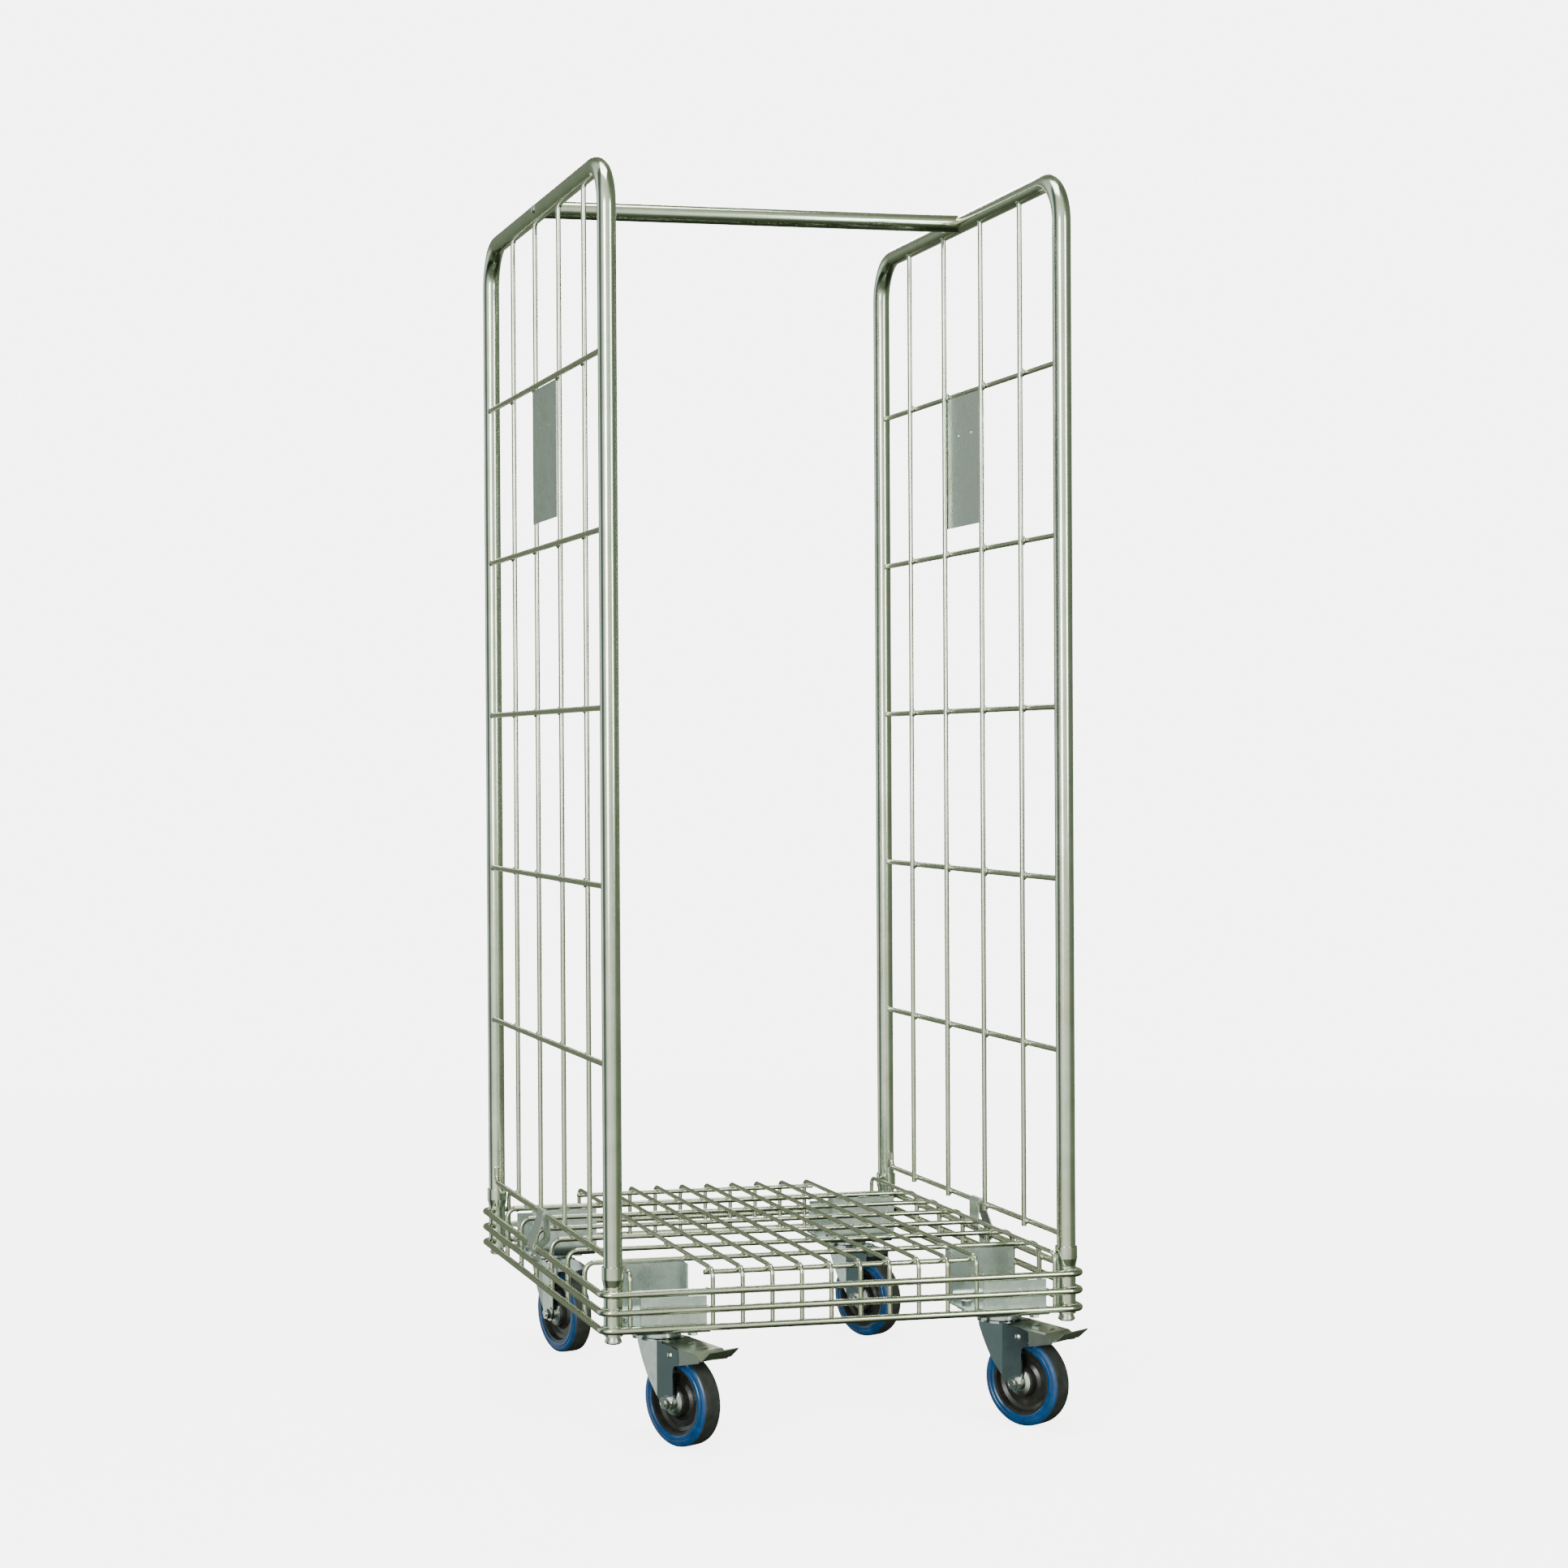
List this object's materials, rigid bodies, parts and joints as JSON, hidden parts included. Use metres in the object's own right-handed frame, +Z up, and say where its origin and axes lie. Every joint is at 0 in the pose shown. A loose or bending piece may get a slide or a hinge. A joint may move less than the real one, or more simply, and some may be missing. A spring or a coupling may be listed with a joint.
{
  "type": "roll cage container",
  "caption": "Wire-deck roll cage with plug-in tubular side frames, a top bar, label plates and swivel casters, the front ones with brake pedals.",
  "frame": {"origin": "on the floor under the centre of the whole outline, brake pedals included", "axes": "+Z up, -Y towards the braked casters at the front, +X towards the right side frame as seen from the front"},
  "size_m": [0.7242, 0.858, 1.805],
  "materials": {
    "galvanised_tube": "bright zinc on drawn tube",
    "galvanised_wire": "bright zinc on drawn wire",
    "galvanised_sheet": "zinc plated sheet, slightly mottled",
    "zinc_pressing": "bluish zinc on pressed steel",
    "pedal_pressing": "bright zinc with a warm tint",
    "zinc_fixing": "bright zinc on turned steel",
    "foot_plug": "dull zinc",
    "hub_plastic": "moulded black plastic",
    "elastic_tyre": "blue elastic rubber, dark grey tread"
  },
  "bodies": {
    "cage": {"rim_rod_top": "galvanised_wire", "rim_rod_middle": "galvanised_wire", "rim_rod_bottom": "galvanised_wire", "deck_length_wires": "galvanised_wire", "deck_cross_wires": "galvanised_wire", "deck_end_wires": "galvanised_wire", "panel_uprights_left": "galvanised_wire", "panel_uprights_right": "galvanised_wire", "panel_cross_wires_left": "galvanised_wire", "panel_cross_wires_right": "galvanised_wire", "panel_bottom_wire_left": "galvanised_wire", "panel_bottom_wire_right": "galvanised_wire", "side_frame_tube_left": "galvanised_tube", "side_frame_tube_right": "galvanised_tube", "top_bar": "galvanised_tube", "corner_socket_front_left": "galvanised_tube", "corner_socket_front_right": "galvanised_tube", "corner_socket_rear_left": "galvanised_tube", "corner_socket_rear_right": "galvanised_tube", "socket_foot_plugs": "foot_plug", "caster_bracket_front_left": "galvanised_sheet", "caster_bracket_front_right": "galvanised_sheet", "caster_bracket_rear_left": "galvanised_sheet", "caster_bracket_rear_right": "galvanised_sheet", "label_plates": "galvanised_sheet", "retaining_straps": "galvanised_sheet", "caster_top_plate_front_left": "zinc_pressing", "caster_top_plate_front_right": "zinc_pressing", "caster_top_plate_rear_left": "zinc_pressing", "caster_top_plate_rear_right": "zinc_pressing", "swivel_race_rings": "zinc_pressing", "caster_plate_bolts": "zinc_fixing", "kingpins": "zinc_fixing", "strap_rivets": "zinc_fixing", "top_bar_fixings": "zinc_fixing", "swivel_balls": "zinc_fixing"},
    "caster_front_left": {"caster_fork_front_left": "zinc_pressing", "caster_axle_front_left": "zinc_fixing", "pedal_pivots_front_left": "zinc_fixing"},
    "wheel_front_left": {"wheel_hub_front_left": "hub_plastic", "wheel_bearing_front_left": "zinc_fixing", "tyre_front_left": "elastic_tyre"},
    "pedal_front_left": {"brake_pedal_front_left": "pedal_pressing"},
    "caster_front_right": {"caster_fork_front_right": "zinc_pressing", "caster_axle_front_right": "zinc_fixing", "pedal_pivots_front_right": "zinc_fixing"},
    "wheel_front_right": {"wheel_hub_front_right": "hub_plastic", "wheel_bearing_front_right": "zinc_fixing", "tyre_front_right": "elastic_tyre"},
    "pedal_front_right": {"brake_pedal_front_right": "pedal_pressing"},
    "caster_rear_left": {"caster_fork_rear_left": "zinc_pressing", "caster_axle_rear_left": "zinc_fixing"},
    "wheel_rear_left": {"wheel_hub_rear_left": "hub_plastic", "wheel_bearing_rear_left": "zinc_fixing", "tyre_rear_left": "elastic_tyre"},
    "caster_rear_right": {"caster_fork_rear_right": "zinc_pressing", "caster_axle_rear_right": "zinc_fixing"},
    "wheel_rear_right": {"wheel_hub_rear_right": "hub_plastic", "wheel_bearing_rear_right": "zinc_fixing", "tyre_rear_right": "elastic_tyre"}
  },
  "joints": [
    {"name": "swivel_front_left", "type": "hinge", "parent": "cage", "child": "caster_front_left", "pos_m": [-0.256, -0.296, 0.15], "axis": [0, 0, 1], "continuous": true},
    {"name": "roll_front_left", "type": "hinge", "parent": "caster_front_left", "child": "wheel_front_left", "pos_m": [-0.23496, -0.33914, 0.064], "axis": [0.8988, 0.4384, 0], "continuous": true},
    {"name": "brake_front_left", "type": "hinge", "parent": "caster_front_left", "child": "pedal_front_left", "pos_m": [-0.2332, -0.34274, 0.13], "axis": [0.8988, 0.4384, 0], "range_deg": [0, 8]},
    {"name": "swivel_front_right", "type": "hinge", "parent": "cage", "child": "caster_front_right", "pos_m": [0.256, -0.296, 0.15], "axis": [0, 0, 1], "continuous": true},
    {"name": "roll_front_right", "type": "hinge", "parent": "caster_front_right", "child": "wheel_front_right", "pos_m": [0.28, -0.33757, 0.064], "axis": [0.866, 0.5, 0], "continuous": true},
    {"name": "brake_front_right", "type": "hinge", "parent": "caster_front_right", "child": "pedal_front_right", "pos_m": [0.282, -0.34103, 0.13], "axis": [0.866, 0.5, 0], "range_deg": [0, 8]},
    {"name": "swivel_rear_left", "type": "hinge", "parent": "cage", "child": "caster_rear_left", "pos_m": [-0.256, 0.374, 0.15], "axis": [0, 0, 1], "continuous": true},
    {"name": "roll_rear_left", "type": "hinge", "parent": "caster_rear_left", "child": "wheel_rear_left", "pos_m": [-0.24277, 0.32786, 0.064], "axis": [0.9613, 0.2756, 0], "continuous": true},
    {"name": "swivel_rear_right", "type": "hinge", "parent": "cage", "child": "caster_rear_right", "pos_m": [0.256, 0.374, 0.15], "axis": [0, 0, 1], "continuous": true},
    {"name": "roll_rear_right", "type": "hinge", "parent": "caster_rear_right", "child": "wheel_rear_right", "pos_m": [0.27629, 0.3305, 0.064], "axis": [0.9063, 0.4226, 0], "continuous": true}
  ]
}
